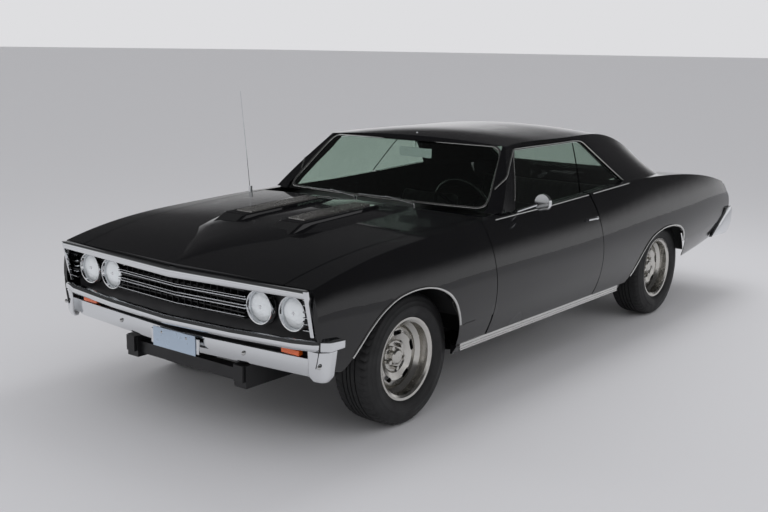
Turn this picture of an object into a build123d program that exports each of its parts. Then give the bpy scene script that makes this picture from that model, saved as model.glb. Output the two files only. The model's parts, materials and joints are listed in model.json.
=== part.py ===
from build123d import *
import math
import os

# Muscle car: a two-door hardtop. Millimetres, nose toward -Y, the driver's side toward +X, ground at z = 0.
LENGTH = 5004.0
HALF = LENGTH / 2
FRONT_OVERHANG = 830.0
WHEELBASE = 2921.0
AXLE_F = FRONT_OVERHANG - HALF
AXLE_R = AXLE_F + WHEELBASE
TRACK_X = 736.5
TYRE_R = 335.0
TYRE_W = 232.0
RIM_R = 208.0
WALL = 26.0
RUNNING = 0.3
GAP = 6.0
DOOR_FRONT = AXLE_F + 600.0
DOOR_REAR = AXLE_F + 1800.0
DOOR_IN_X = 800.0
HINGE_X = 964.0
SILL_TOP = 340.0
HOOD_FRONT = AXLE_F - 752.0
HOOD_REAR = AXLE_F + 652.0
LID_FRONT = AXLE_F + 3290.0
LID_REAR = AXLE_F + 3975.0
KING_X = 636.0
COWL_DROP = 24.0

os.makedirs("parts", exist_ok=True)


def box(x0, x1, y0, y1, z0, z1):
    return Pos((x0 + x1) / 2, (y0 + y1) / 2, (z0 + z1) / 2) * Box(x1 - x0, y1 - y0, z1 - z0)


def rod_x(x0, x1, y, z, r):
    return Pos((x0 + x1) / 2, y, z) * Rot(0, 90, 0) * Cylinder(r, x1 - x0)


def rod_y(x, y0, y1, z, r):
    return Pos(x, (y0 + y1) / 2, z) * Rot(90, 0, 0) * Cylinder(r, y1 - y0)


def bar(p, q, r):
    a, b = Vector(*p), Vector(*q)
    plane = Plane(origin=(a + b) * 0.5, z_dir=(b - a).normalized())
    return plane * Cylinder(r, (b - a).length)


def tube_path(points, r):
    parts = [bar(points[i], points[i + 1], r) for i in range(len(points) - 1)]
    parts += [Pos(*p) * Sphere(r) for p in points[1:-1]]
    return fuse(*parts)


def fuse(*shapes):
    out = shapes[0]
    for s in shapes[1:]:
        out = out + s
    return out


def flip(shape):
    return mirror(shape, about=Plane.YZ)


def both(shape):
    return Compound(children=[shape, flip(shape)])


def side_profile(points, x0, x1):
    """A closed outline given as (y, z) points, extruded from x0 to x1."""
    pts = [Vector(x0, y, z) for y, z in points]
    face = Face(Wire.make_polygon(pts, close=True))
    return Solid.extrude(face, Vector(x1 - x0, 0, 0))


def plan_profile(points, z0, z1):
    """A closed outline given as (x, y) points, extruded from z0 to z1."""
    face = Face(Wire.make_polygon([Vector(x, y, z0) for x, y in points], close=True))
    return Solid.extrude(face, Vector(0, 0, z1 - z0))


def save(name, *shapes):
    solids = []
    for s in shapes:
        solids += s.solids()
    solids = [s for s in solids if s.volume > 50]
    out = solids[0] if len(solids) == 1 else Compound(children=solids)
    export_step(out, f"parts/{name}.step")


# Lower body sections: y from the front axle; bottom, widest and shoulder points as half-width and height; crown height.
BODY = [
    # y, x bottom, z bottom, x widest, z widest, x shoulder, z shoulder, z crown
    (-790, 872, 455, 902, 640, 862, 800, 806),
    (-600, 882, 400, 922, 635, 872, 846, 856),
    (-260, 880, 300, 946, 640, 866, 902, 914),
    (150, 872, 290, 958, 645, 858, 930, 944),
    (650, 864, 290, 963, 650, 850, 950, 966),
    (1300, 864, 290, 965, 655, 846, 958, 975),
    (1900, 864, 290, 965, 665, 842, 978, 992),
    (2450, 866, 292, 962, 680, 846, 998, 992),
    (2950, 868, 315, 956, 690, 852, 988, 972),
    (3450, 862, 375, 942, 695, 862, 950, 942),
    (3850, 850, 430, 920, 690, 868, 884, 882),
    (4120, 838, 470, 896, 685, 862, 812, 808),
]


def body_section(row, inset, floor_z):
    y, xb, zb, xm, zm, xs, zs, zt = row
    xb, xm, xs = xb - inset, xm - inset, xs - inset
    zs, zt = zs - inset, zt - inset
    zb = zb if floor_z is None else floor_z
    y = y + AXLE_F
    left = [Vector(xb, y, zb), Vector(xm, y, zm), Vector(xs, y, zs)]
    right = [Vector(-v.X, v.Y, v.Z) for v in left]
    edges = [
        Edge.make_line(right[0], left[0]),
        Edge.make_three_point_arc(*left),
        Edge.make_three_point_arc(left[2], Vector(0, y, zt), right[2]),
        Edge.make_three_point_arc(right[2], right[1], right[0]),
    ]
    return Wire(edges)


def skin_x(y, z):
    """Half-width of the body side at height z, y from the front axle."""
    k = max(i for i in range(len(BODY) - 1) if BODY[i][0] <= y)
    t = (y - BODY[k][0]) / (BODY[k + 1][0] - BODY[k][0])
    xb, zb, xm, zm, xs, zs = [a + (b - a) * t for a, b in zip(BODY[k][1:7], BODY[k + 1][1:7])]
    d = 2 * (xb * (zm - zs) + xm * (zs - zb) + xs * (zb - zm))
    sb, sm, ss = xb**2 + zb**2, xm**2 + zm**2, xs**2 + zs**2
    cx = (sb * (zm - zs) + sm * (zs - zb) + ss * (zb - zm)) / d
    cz = (sb * (xs - xm) + sm * (xb - xs) + ss * (xm - xb)) / d
    return cx + math.sqrt((xb - cx) ** 2 + (zb - cz) ** 2 - (z - cz) ** 2)


outer = Solid.make_loft([body_section(r, 0, None) for r in BODY])
inner = Solid.make_loft([body_section(r, WALL, 150) for r in BODY])

# Nose and tail are trimmed to their side outlines: (y from the front axle, z).
NOSE = [(-790, 815), (-757, 815), (-728, 610), (-700, 455), (-560, 380), (-540, 150), (-900, 150), (-900, 900), (-790, 900)]
TAIL = [(3985, 900), (4010, 812), (4060, 730), (4052, 600), (3985, 520), (3890, 440), (3870, 150), (4200, 150), (4200, 900)]
nose_cut = side_profile([(y + AXLE_F, z) for y, z in NOSE], -1000, 1000)
NOSE_MID, NOSE_SIDE = AXLE_F - 756, AXLE_F - 732
nose_vee = plan_profile(
    [(-1000, NOSE_SIDE + 4), (0, NOSE_MID), (1000, NOSE_SIDE + 4), (1000, -3000), (-1000, -3000)], 600, 1100
)
tail_cut = side_profile([(y + AXLE_F, z) for y, z in TAIL], -1000, 1000)
outer = outer - nose_cut - nose_vee - tail_cut
skin = outer - inner

# Wheel arches: one lip outline each, (y from the axle, z), open at the bottom.
ARCH_F = [(-552, 200), (-552, 425), (-438, 568), (-340, 645), (-219, 696), (-93, 711), (4, 707), (89, 688), (160, 654), (214, 606), (262, 520), (300, 420), (322, 330), (330, 200)]
ARCH_R = [(-770, 200), (-730, 396), (-578, 510), (-435, 591), (-334, 632), (-199, 654), (-58, 652), (63, 629), (134, 592), (168, 533), (160, 452), (130, 400), (110, 200)]


def arch(points, axle_y):
    side = side_profile([(y + axle_y, z) for y, z in points], 600, 1000)
    return side + flip(side)


arch_f = arch(ARCH_F, AXLE_F)
arch_r = arch(ARCH_R, AXLE_R)

# Greenhouse sections: y from the front axle, base half-width and height, rail half-width and height, crown height.
CABIN = [
    # y, x base, z base, x rail, z rail, z crown
    (560, 864, 880, 668, 1232, 1262),
    (1150, 866, 890, 648, 1288, 1322),
    (1600, 866, 895, 648, 1302, 1348),
    (2050, 864, 905, 640, 1302, 1350),
    (2389, 858, 915, 606, 1286, 1322),
    (2674, 846, 920, 594, 1226, 1244),
    (3000, 822, 920, 604, 1084, 1096),
    (3290, 790, 910, 640, 946, 952),
]


def cabin_section(row, inset, base_drop):
    y, xg, zg, xr, zr, zt = row
    y = y + AXLE_F
    zg = zg - base_drop
    slope = (xg - xr) / (zr - zg)
    low = Vector(xg - inset * 1.2, y, zg)
    high = Vector(xr - inset * (0.9 - 0.5 * slope), y, zr - inset)
    mid = Vector((low.X + high.X) / 2 + 6, y, (low.Z + high.Z) / 2)
    edges = [
        Edge.make_line(Vector(-low.X, y, low.Z), low),
        Edge.make_three_point_arc(low, mid, high),
        Edge.make_three_point_arc(high, Vector(0, y, zt - inset), Vector(-high.X, y, high.Z)),
        Edge.make_three_point_arc(
            Vector(-high.X, y, high.Z), Vector(-mid.X, y, mid.Z), Vector(-low.X, y, low.Z)
        ),
    ]
    return Wire(edges)


cabin_loft = Solid.make_loft([cabin_section(r, 0, 0) for r in CABIN])
cabin_inner = Solid.make_loft([cabin_section(r, 30, 30) for r in CABIN])


def bowed(z, y_mid, y_side, y_back):
    edges = [
        Edge.make_three_point_arc(
            Vector(-900, y_side, z), Vector(0, y_mid, z), Vector(900, y_side, z)
        ),
        Edge.make_line(Vector(900, y_side, z), Vector(900, y_back, z)),
        Edge.make_line(Vector(900, y_back, z), Vector(-900, y_back, z)),
        Edge.make_line(Vector(-900, y_back, z), Vector(-900, y_side, z)),
    ]
    return Wire(edges)


def screen_block(shift):
    """All that lies behind the windscreen's surface, moved back by shift."""
    return Solid.make_loft(
        [
            bowed(860, AXLE_F + 643 + shift, AXLE_F + 718 + shift, AXLE_F + 3500),
            bowed(1400, AXLE_F + 1198 + shift, AXLE_F + 1315 + shift, AXLE_F + 3500),
        ],
        ruled=True,
    )


behind_screen = screen_block(0)
cabin = cabin_loft & behind_screen

# Windows and openings in the greenhouse, in side view (y from the front axle, z).
SIDE_LIGHT = [(880, 850), (1000, 1010), (1215, 1262), (1905, 1270), (2015, 1262), (2345, 1000), (2360, 850)]
side_light = side_profile([(y + AXLE_F, z) for y, z in SIDE_LIGHT], 450, 950)
SCREEN_HOLE = [(-700, 850), (-742, 985), (-628, 1288), (628, 1288), (742, 985), (700, 850)]
screen_face = Face(Wire.make_polygon([Vector(x, AXLE_F + 500, z) for x, z in SCREEN_HOLE], close=True))
screen_hole = Solid.extrude(screen_face, Vector(0, 900, 0))
RECESS_TOP_Y, RECESS_TOP_Z = AXLE_F + 2440, 1298.0
RECESS_LOW_Y, RECESS_LOW_Z = AXLE_F + 3040, 962.0
back_slope = math.atan2(RECESS_TOP_Z - RECESS_LOW_Z, RECESS_LOW_Y - RECESS_TOP_Y)


def back_wedge(offset, half_top, half_low):
    """The space over the back window's plane, which lies offset behind its glass."""
    dy, dz = math.sin(back_slope) * offset, math.cos(back_slope) * offset
    wires = []
    for half, z, y in ((half_low, RECESS_LOW_Z, RECESS_LOW_Y), (half_top, RECESS_TOP_Z, RECESS_TOP_Y)):
        y, z = y + dy, z + dz
        k = (half_low - half_top) / (RECESS_TOP_Z - RECESS_LOW_Z)
        t = -90 if z < 1100 + dz else 110
        yy = y - t / math.tan(back_slope)
        zz = z + t
        h = half - k * t
        wires.append(
            Wire.make_polygon(
                [Vector(-h, yy, zz), Vector(h, yy, zz), Vector(h, AXLE_F + 3400, zz), Vector(-h, AXLE_F + 3400, zz)],
                close=True,
            )
        )
    return Solid.make_loft(wires, ruled=True)


recess = back_wedge(20, 528, 610)
inner_back = back_wedge(-14, 900, 900)
hollow = (cabin_inner & screen_block(34)) - inner_back
shell = cabin - hollow - recess
back_hole = Pos(0, (RECESS_TOP_Y + RECESS_LOW_Y) / 2, (RECESS_TOP_Z + RECESS_LOW_Z) / 2) * Rot(
    -math.degrees(back_slope), 0, 0
) * Box(1010, 590, 90)
roof = shell - side_light - flip(side_light) - screen_hole - back_hole - outer

# Doors: hung on vertical lines at their front outer edge. The rear jamb tapers so that the inner corner swings clear.
door_plan = [
    (DOOR_IN_X, DOOR_FRONT),
    (1000, DOOR_FRONT),
    (1000, DOOR_REAR),
    (960, DOOR_REAR),
    (DOOR_IN_X, DOOR_REAR - 2),
]
door_solid = outer & plan_profile(door_plan, SILL_TOP + 6, 1100)
save("door_left", door_solid)
save("door_right", flip(door_solid))
jamb_plan = [
    (640, DOOR_REAR + 26),
    (DOOR_IN_X - 6, DOOR_REAR + 22),
    (960, DOOR_REAR + GAP),
    (1000, DOOR_REAR + GAP),
    (1000, AXLE_F + 2300),
    (640, AXLE_F + 2300),
]

# Hood and boot lid outlines in plan, grown by a gap for the panels around them.


def hood_plan(grow):
    return plan_profile(
        [
            (-702 - grow, HOOD_FRONT - 60),
            (702 + grow, HOOD_FRONT - 60),
            (786 + grow, HOOD_REAR + grow),
            (-786 - grow, HOOD_REAR + grow),
        ],
        500,
        1100,
    )


def lid_plan(grow):
    return plan_profile(
        [
            (-672 - grow, LID_FRONT - grow),
            (672 + grow, LID_FRONT - grow),
            (720 + grow, LID_REAR + 200),
            (-720 - grow, LID_REAR + 200),
        ],
        500,
        1100,
    )


tail_back = side_profile([(y + AXLE_F - 30, z) for y, z in TAIL], -1000, 1000)
tail_panel = (outer & tail_back) - box(-1000, 1000, AXLE_F + 3800, AXLE_F + 4200, 835, 1000)
top_skin = skin & box(-900, 900, -HALF, HALF, 700, 1100)
hood = (top_skin & hood_plan(0)) - box(-1000, 1000, -HALF, HOOD_REAR, 0, 768)
lid = (top_skin & lid_plan(0)) - side_profile([(y + AXLE_F - 36, z) for y, z in TAIL], -1000, 1000)
save("hood", hood)
save("trunk_lid", lid)

half_skin = skin & box(20, 1000, -HALF, HALF, 0, 1100)
sides = half_skin - hood_plan(GAP) - lid_plan(GAP) - arch_f - arch_r
fender = (sides & box(0, 1000, -HALF, DOOR_FRONT - GAP, 0, 1100)) - box(
    0, 1000, AXLE_F + 290, DOOR_REAR, 0, SILL_TOP + 3
)
cowl_zone = box(-1000, 1000, HOOD_REAR + GAP, DOOR_FRONT + 400, 880, 1100) & plan_profile(
    [(-790, 0), (-790, -1200), (790, -1200), (790, 0)], 880, 1100
)
fender = fender - box(0, 793, AXLE_F + 560, DOOR_FRONT, 300, 1100)
for z, depth in ((460, 26), (760, 34)):
    hinge_x = skin_x(594, z) - depth
    fender = fender + box(hinge_x - 16, hinge_x + 10, DOOR_FRONT - GAP - 24, DOOR_FRONT - 0.3, z - 20, z + 20)
save("fender_left", fender)
save("fender_right", flip(fender))

quarter = (sides & box(0, 1000, DOOR_REAR + GAP, HALF, 0, 1100)) - tail_back
jamb = plan_profile(jamb_plan, 0, 1100)
front_block = (outer & jamb & box(DOOR_IN_X - 6, 1000, DOOR_REAR, AXLE_F + 2300, SILL_TOP + 3, 1100)) - arch_r
keep = quarter - box(0, 1000, DOOR_REAR, AXLE_F + 2300, 0, 1100)
low_cut = box(0, 1000, DOOR_REAR, AXLE_R - 600, 0, SILL_TOP + 3)
cabin_gap = box(0, DOOR_IN_X - 6, DOOR_REAR, AXLE_F + 2350, 900, 1100)
deck_gap = box(0, 700, AXLE_F + 2350, LID_FRONT - GAP, 800, 1100)
quarter = fuse(keep, front_block) - low_cut - cabin_gap - deck_gap
save("quarter_left", quarter)
save("quarter_right", flip(quarter))
deck = top_skin & box(-699, 699, AXLE_F + 3042, LID_FRONT - GAP, 800, 1100)
lid_rest = fuse(
    box(590, 640, LID_FRONT - 40, LID_FRONT - GAP, 880, 1000) & inner,
    box(590, 640, LID_FRONT - GAP - 1, LID_FRONT + 40, 880, 1000) & (Pos(0, 0, -0.3) * inner),
)
save("rear_panels", tail_panel, fuse(deck, lid_rest, flip(lid_rest)))

cowl = (Pos(0, 0, -COWL_DROP) * top_skin & box(-800, 800, HOOD_REAR + GAP, AXLE_F + 1100, 850, 1100)) - screen_block(26)
cowl = cowl - box(-1000, 1000, AXLE_F + 850, 0, 800, 1100)
cowl = cowl - fender - flip(fender) - door_solid - flip(door_solid)

roof = roof - Pos(0, 0, 7) * door_solid - Pos(0, 0, 7) * flip(door_solid)
save("roof", roof)

sill = outer & box(699, 1000, AXLE_F + 395, AXLE_F + 2200, 250, SILL_TOP)
sill = sill + (outer & box(859, 1000, AXLE_F + 330, AXLE_F + 396, 250, SILL_TOP))
save("cowl_and_sills", cowl, sill, flip(sill))

# Glass: panes cut from the same surfaces as the openings.
pane_space = screen_block(10) - screen_block(16)
screen_pane = Solid.extrude(
    Face(
        Wire.make_polygon(
            [Vector(x, AXLE_F + 500, z) for x, z in SCREEN_HOLE],
            close=True,
        )
    ),
    Vector(0, 900, 0),
)
windshield = (pane_space & screen_pane) - outer - cowl
save("windshield", windshield)
back_glass = Pos(0, (RECESS_TOP_Y + RECESS_LOW_Y) / 2, (RECESS_TOP_Z + RECESS_LOW_Z) / 2) * Rot(
    -math.degrees(back_slope), 0, 0
) * Box(1010, 590, 6)
STRIP_LOW_Y, STRIP_TOP_Y = AXLE_F + 1745, AXLE_F + 1912
side_space = (Pos(-13, 0, 0) * cabin_loft) - (Pos(-20, 0, 0) * cabin_loft)


def strip_line(z, shift):
    return STRIP_LOW_Y + (z - 970) * (STRIP_TOP_Y - STRIP_LOW_Y) / 297 + shift


DOOR_LIGHT = [(896, 850), (1016, 1010), (1221, 1255), (1907, 1263)]
door_light = side_profile(
    [(y + AXLE_F, z) for y, z in DOOR_LIGHT[:3]] + [(strip_line(1262, -5), 1262), (strip_line(850, -5), 850)], 450, 950
)
rear_light = side_profile(
    [(strip_line(850, 5), 850), (strip_line(1262, 5), 1263), (AXLE_F + 2009, 1256), (AXLE_F + 2336, 999), (AXLE_F + 2350, 850)],
    450,
    950,
)
door_pane = (side_space & door_light) - outer
quarter_pane = (side_space & rear_light) - outer - Pos(0, 0, 7) * door_solid
save("door_glass_left", door_pane)
save("door_glass_right", flip(door_pane))
save("rear_glass", back_glass - outer, quarter_pane, flip(quarter_pane))

# Wheels, turned about X around their own centre: outline points are (x, radius), outboard positive.


def turned(points, arcs=()):
    """Revolve an outline about X. Points named in arcs are the middle points of arcs."""
    edges = []
    count = len(points)
    i = 0
    while i < count:
        a = Vector(points[i][0], points[i][1], 0)
        if (i + 1) % count in arcs:
            m = points[(i + 1) % count]
            b = points[(i + 2) % count]
            edges.append(Edge.make_three_point_arc(a, Vector(m[0], m[1], 0), Vector(b[0], b[1], 0)))
            i += 2
        else:
            b = points[(i + 1) % count]
            edges.append(Edge.make_line(a, Vector(b[0], b[1], 0)))
            i += 1
    return Solid.revolve(Face(Wire(edges)), 360, Axis.X)


BARREL = [
    (-95, 208), (-88, 208), (-85, 192), (-60, 190), (-46, 168), (20, 168), (38, 190), (85, 192), (88, 208),
    (95, 208), (93, 196), (86, 184), (40, 182), (22, 160), (-48, 160), (-62, 182), (-88, 184), (-95, 200),
]
DISC = [(2, 161), (8, 161), (30, 142), (34, 118), (22, 84), (14, 76), (14, 44), (34, 40), (40, 30), (41, 0), (34, 0), (30, 30), (8, 36), (8, 78), (16, 88), (27, 118), (23, 138)]
SLOT_COUNT = 5
SLOT_R = 122.0
LUG_R = 60.3
HUB_BORE = 30.3
SPINDLE_R = 30.0
BRAKE_R = 115.0
disc = turned(DISC)
hub_ring = turned([(-30, HUB_BORE), (9, HUB_BORE), (9, 52), (-30, 52)])
rim = turned(BARREL) + disc + hub_ring
for k in range(SLOT_COUNT):
    turn = Rot(360 / SLOT_COUNT * k, 0, 0)
    slot = turn * Pos(20, 0, SLOT_R) * Rot(0, 90, 0) * extrude(SlotOverall(62, 24).rotate(Axis.Z, 90), 40, both=True)
    rim = rim - slot
for k in range(SLOT_COUNT):
    turn = Rot(360 / SLOT_COUNT * (k + 0.5), 0, 0)
    lug = turn * Pos(23, 0, LUG_R) * Rot(0, 90, 0) * extrude(RegularPolygon(11, 6), 15, both=True)
    rim = rim + lug
TYRE_SIDES = 44
TYRE_RINGS = [
    # x, radius: outer side from one bead to the other, then back along the inner side
    (-84, 192.6), (-88, 212), (-115, 252), (-108, 304), (-88, 330), (0, TYRE_R), (88, 330), (108, 304), (115, 252),
    (88, 212), (84, 192.6), (72, 192.6), (100, 260), (80, 318), (-80, 318), (-100, 260), (-72, 192.6),
]


def faceted_ring(rings, sides):
    """A closed ring of flat faces about X."""
    def point(ring, k):
        a = 2 * math.pi * k / sides
        return Vector(ring[0], ring[1] * math.cos(a), ring[1] * math.sin(a))

    faces = []
    for i in range(len(rings)):
        p, q = rings[i], rings[(i + 1) % len(rings)]
        for k in range(sides):
            corners = [point(p, k), point(q, k), point(q, k + 1), point(p, k + 1)]
            faces.append(Face(Wire.make_polygon(corners, close=True)))
    return Solid(Shell(faces))


tyre = faceted_ring(TYRE_RINGS, TYRE_SIDES)
for name, axle_y in (("front", AXLE_F), ("rear", AXLE_R)):
    place = Pos(TRACK_X, axle_y, TYRE_R)
    for side in ("left", "right"):
        for kind, piece in (("rim", rim), ("tyre", tyre)):
            put = place * piece
            save(f"{kind}_{name}_{side}", put if side == "left" else flip(put))

# Knuckles: upright, spindle and steering arm, turning about a vertical line at x = KING_X.
knuckle = (
    box(KING_X - 14, KING_X + 6, AXLE_F - 32, AXLE_F + 32, 218, 454)
    + rod_x(KING_X, TRACK_X + 4, AXLE_F, TYRE_R, SPINDLE_R)
    + bar((KING_X - 4, AXLE_F + 20, 262), (KING_X - 12, AXLE_F + 120, 255), 12)
    + rod_x(656, 696, AXLE_F, TYRE_R, BRAKE_R)
)
save("knuckle_left", knuckle)
save("knuckle_right", flip(knuckle))

# Front suspension: arms, coil springs, dampers' place, cross member and steering link.
arms = []
ARM_ROWS = [
    # z at the frame, z at the ball, spread at the frame, x at the frame
    (262, 200, 130, 445),
    (458, 472, 90, 464),
]
for z_frame, z_ball, spread, x_frame in ARM_ROWS:
    for s in (-1, 1):
        arms.append(bar((x_frame, AXLE_F + s * spread, z_frame), (KING_X - 26, AXLE_F + s * 14, z_ball), 13))
    z_low, z_high = (190, 217.7) if z_ball < TYRE_R else (454.3, 484)
    arms.append(Pos(KING_X, AXLE_F, (z_low + z_high) / 2) * Cylinder(16, z_high - z_low))
    arms.append(bar((KING_X - 30, AXLE_F, z_ball), (KING_X - 6, AXLE_F, z_ball), 12))
spring = Pos(520, AXLE_F, 400) * (Cylinder(56, 260) - Cylinder(44, 270))
tower = box(430, 580, AXLE_F - 62, AXLE_F + 62, 530, 560) + box(430, 450, AXLE_F - 150, AXLE_F + 150, 248, 560)
pan_low = box(450, 572, AXLE_F - 50, AXLE_F + 50, 250, 270)
corner = fuse(tower, spring, pan_low, *arms)
cross = box(-430, 430, AXLE_F - 90, AXLE_F + 90, 240, 270)
link = bar((-470, AXLE_F + 165, 250), (470, AXLE_F + 165, 250), 10) + box(-30, 30, AXLE_F + 80, AXLE_F + 172, 242, 262)
save("front_suspension", corner, flip(corner), cross, link)

# Rear axle with its differential, springs and drive shaft.
axle = rod_x(-656, 656, AXLE_R, TYRE_R, 38) + Pos(0, AXLE_R, TYRE_R) * Sphere(140)
for s in (-1, 1):
    ends = sorted((s * 640, s * (TRACK_X + 4)))
    backs = sorted((s * 654, s * 696))
    axle = axle + rod_x(*ends, AXLE_R, TYRE_R, SPINDLE_R) + rod_x(*backs, AXLE_R, TYRE_R, BRAKE_R)
axle = axle + rod_y(0, AXLE_F + 900, AXLE_R - 120, 300, 38)
rear_arm = box(500, 530, AXLE_F + 2440, AXLE_R, 300, 340)
rear_spring = Pos(400, AXLE_R, 430) * (Cylinder(55, 120) - Cylinder(43, 122))
save("rear_axle", fuse(axle, rear_arm, flip(rear_arm), rear_spring, flip(rear_spring)))

# Frame: side rails in three runs with cross members.
rail = fuse(
    box(350, 430, AXLE_F - 700, AXLE_F + 420, 270, 380),
    plan_profile(
        [(350, AXLE_F + 380), (430, AXLE_F + 380), (690, AXLE_F + 560), (690, AXLE_F + 680), (600, AXLE_F + 680)], 230, 350
    ),
    box(600, 690, AXLE_F + 640, AXLE_F + 2200, 210, 290),
    plan_profile(
        [(600, AXLE_F + 2100), (690, AXLE_F + 2100), (690, AXLE_F + 2180), (560, AXLE_F + 2420), (470, AXLE_F + 2420)],
        230,
        470,
    ),
    box(480, 560, AXLE_F + 2380, AXLE_F + 3835, 405, 485),
)
frame = fuse(
    rail,
    flip(rail),
    box(-352, 352, AXLE_F - 90, AXLE_F + 90, 270, 380),
    box(-602, 602, AXLE_F + 1000, AXLE_F + 1060, 225, 260),
    box(-482, 482, AXLE_F + 3150, AXLE_F + 3210, 485 - 60, 485),
    box(-352, 352, AXLE_F - 680, AXLE_F - 620, 290, 350),
)
for s in (-1, 1):
    for y in (760, 1300, 1900):
        frame = frame + Pos(s * 645, AXLE_F + y, 306) * Cylinder(32, 32)
    frame = frame + box(min(s * 360, s * 420), max(s * 360, s * 420), AXLE_F - 715, AXLE_F - 660, 300, 380)
save("frame", frame)

# Floor with its tunnel, dash wall, sides under the doors, boot floor and rear wheel houses.
FLOOR_Z = 322.0
inner_low = Pos(0, 0, -COWL_DROP) * inner
floor = fuse(
    box(-699, 699, AXLE_F + 560, AXLE_F + 2420, FLOOR_Z, FLOOR_Z + 14),
    box(-150, 150, AXLE_F + 560, AXLE_F + 2420, FLOOR_Z + 14, FLOOR_Z + 120)
    - box(-132, 132, AXLE_F + 550, AXLE_F + 2430, FLOOR_Z - 10, FLOOR_Z + 104),
    box(-785, 785, AXLE_F + 560, AXLE_F + 578, SILL_TOP + 3, 880),
    box(-785, 785, AXLE_F + 560, AXLE_F + 760, 866, 880),
    box(-785, 785, AXLE_F + 744, AXLE_F + 760, 866, 960) & inner_low,
    box(-699, 699, AXLE_F + 560, AXLE_F + 578, FLOOR_Z, SILL_TOP + 4),
    box(-558, 558, AXLE_F + 2402, AXLE_F + 2420, FLOOR_Z, 504),
    box(-579, 579, AXLE_F + 2402, AXLE_F + 3900, 490, 504),
)
tub = fuse(
    box(560, 579, AXLE_R - 420, AXLE_R + 420, 500, 740),
    box(560, 898, AXLE_R - 420, AXLE_R + 420, 722, 740),
    box(579, 898, AXLE_R - 420, AXLE_R - 402, 560, 740),
    box(579, 898, AXLE_R + 402, AXLE_R + 420, 560, 740),
)
floor = floor - box(-132, 132, AXLE_F + 540, AXLE_F + 2430, FLOOR_Z - 10, FLOOR_Z + 104)
floor = floor - rail - flip(rail)
hood_rest = box(690, 740, AXLE_F + 590, AXLE_F + 636, 879, 1000) & (Pos(0, 0, -0.3) * inner)
floor = fuse(floor, hood_rest, flip(hood_rest))
tub = tub & inner
save("floor", floor, tub, flip(tub))

# Heavy masses and underside.
save("engine", box(-280, 280, AXLE_F - 380, AXLE_F + 330, 395, 830) + box(-110, 110, AXLE_F + 330, AXLE_F + 560, 395, 620))
tank = box(-400, 400, AXLE_F + 3260, AXLE_F + 3800, 350, 490)
exhaust = tube_path(
    [(230, AXLE_F + 330, 300), (230, AXLE_F + 2300, 262), (450, AXLE_F + 2450, 262), (450, AXLE_F + 2600, 262)], 26
)
muffler = box(200, 420, AXLE_F + 1300, AXLE_F + 1800, 230, 310)
save("exhaust_and_tank", exhaust + muffler, flip(exhaust + muffler), tank)

# Inside: dash, seats, steering wheel and mirror.
WHEEL_C = (370.0, AXLE_F + 1136.0, 891.0)
WHEEL_TILT = 15.0
HUB_DEPTH = 24.0
steering_line = Pos(*WHEEL_C) * Rot(WHEEL_TILT - 90, 0, 0)
dash = box(-780, 780, AXLE_F + 790, AXLE_F + 1010, 660, 925)
column = steering_line * Pos(0, 0, -HUB_DEPTH / 2 - RUNNING - 150) * Cylinder(24, 300)
save("dashboard", ((dash & (inner + cabin_inner)) - Pos(0, 0, -RUNNING) * cowl - cowl) + column)
hand_wheel = Torus(195, 10) + Cylinder(34, HUB_DEPTH)
for a in (90, 210, 330):
    hand_wheel = hand_wheel + Rot(0, 0, a) * Pos(112, 0, 0) * Box(168, 18, 6)
save("steering_wheel", steering_line * hand_wheel)


def seat(x0, x1, y0, z_top, back_lean, z_base):
    cushion = box(x0, x1, y0, y0 + 500, z_base, z_base + 190)
    back = Pos(0, y0 + 450, z_base + 150) * Rot(-back_lean, 0, 0) * box(x0, x1, 0, 120, 0, z_top)
    return fillet((cushion + back).edges().filter_by(Axis.X), 18)


buckets = [seat(s * 400 - 240, s * 400 + 240, AXLE_F + 1270, 420, 16, FLOOR_Z + 14 + RUNNING) for s in (-1, 1)]
save("seats", *buckets, seat(-555, 555, AXLE_F + 2190, 300, 24, 504 + RUNNING))
save("inside_mirror", box(-115, 115, AXLE_F + 1150, AXLE_F + 1166, 1180, 1235) + bar((0, AXLE_F + 1156, 1230), (0, AXLE_F + 1172, 1330), 6) - roof)

# Front end: header moulding, grille, lamps, bumper and valance.
LAMP_ROWS = [
    # name, x, y from the front axle
    ("outer", 716, -672),
    ("inner", 525, -683),
]
LAMP_Z = 676.0
header = plan_profile(
    [
        (-860, NOSE_SIDE - 26),
        (0, NOSE_MID - 30),
        (860, NOSE_SIDE - 26),
        (860, NOSE_SIDE - 6),
        (0, NOSE_MID - 6),
        (-860, NOSE_SIDE - 6),
    ],
    776,
    804,
)
grille_back = box(-850, 850, AXLE_F - 672, AXLE_F - 652, 440, 770)
bars = [box(-440, 440, AXLE_F - 716, AXLE_F - 672, z, z + 5) for z in (610, 636, 662, 688, 714, 740)]
outer_bars = [box(800, 862, AXLE_F - 716, AXLE_F - 672, z, z + 5) for z in (620, 660, 700, 740)]
grille = fuse(grille_back, *bars, *outer_bars, *[flip(b) for b in outer_bars])
lamps, cups = [], []
for name, x, y in LAMP_ROWS:
    cup = rod_y(x, AXLE_F + y - 22, AXLE_F + y + 60, LAMP_Z, 80)
    lens = rod_y(x, AXLE_F + y - 14, AXLE_F + y + 40, LAMP_Z, 72)
    cups.append(cup - rod_y(x, AXLE_F + y - 30, AXLE_F + y + 50, LAMP_Z, 72))
    lamps.append(lens)
solid_cups = [rod_y(x, AXLE_F + y - 22, AXLE_F + y + 60, LAMP_Z, 80) for name, x, y in LAMP_ROWS]
for c in solid_cups:
    grille = grille - c - flip(c)
grille = grille - fender - flip(fender)
save("grille", grille)
header = header + plan_profile([(850, NOSE_SIDE - 10), (730, NOSE_SIDE - 14), (730, NOSE_SIDE + 10), (850, NOSE_SIDE + 14)], 778, 790)
header = header + plan_profile([(-850, NOSE_SIDE - 10), (-730, NOSE_SIDE - 14), (-730, NOSE_SIDE + 10), (-850, NOSE_SIDE + 14)], 778, 790)
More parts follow.
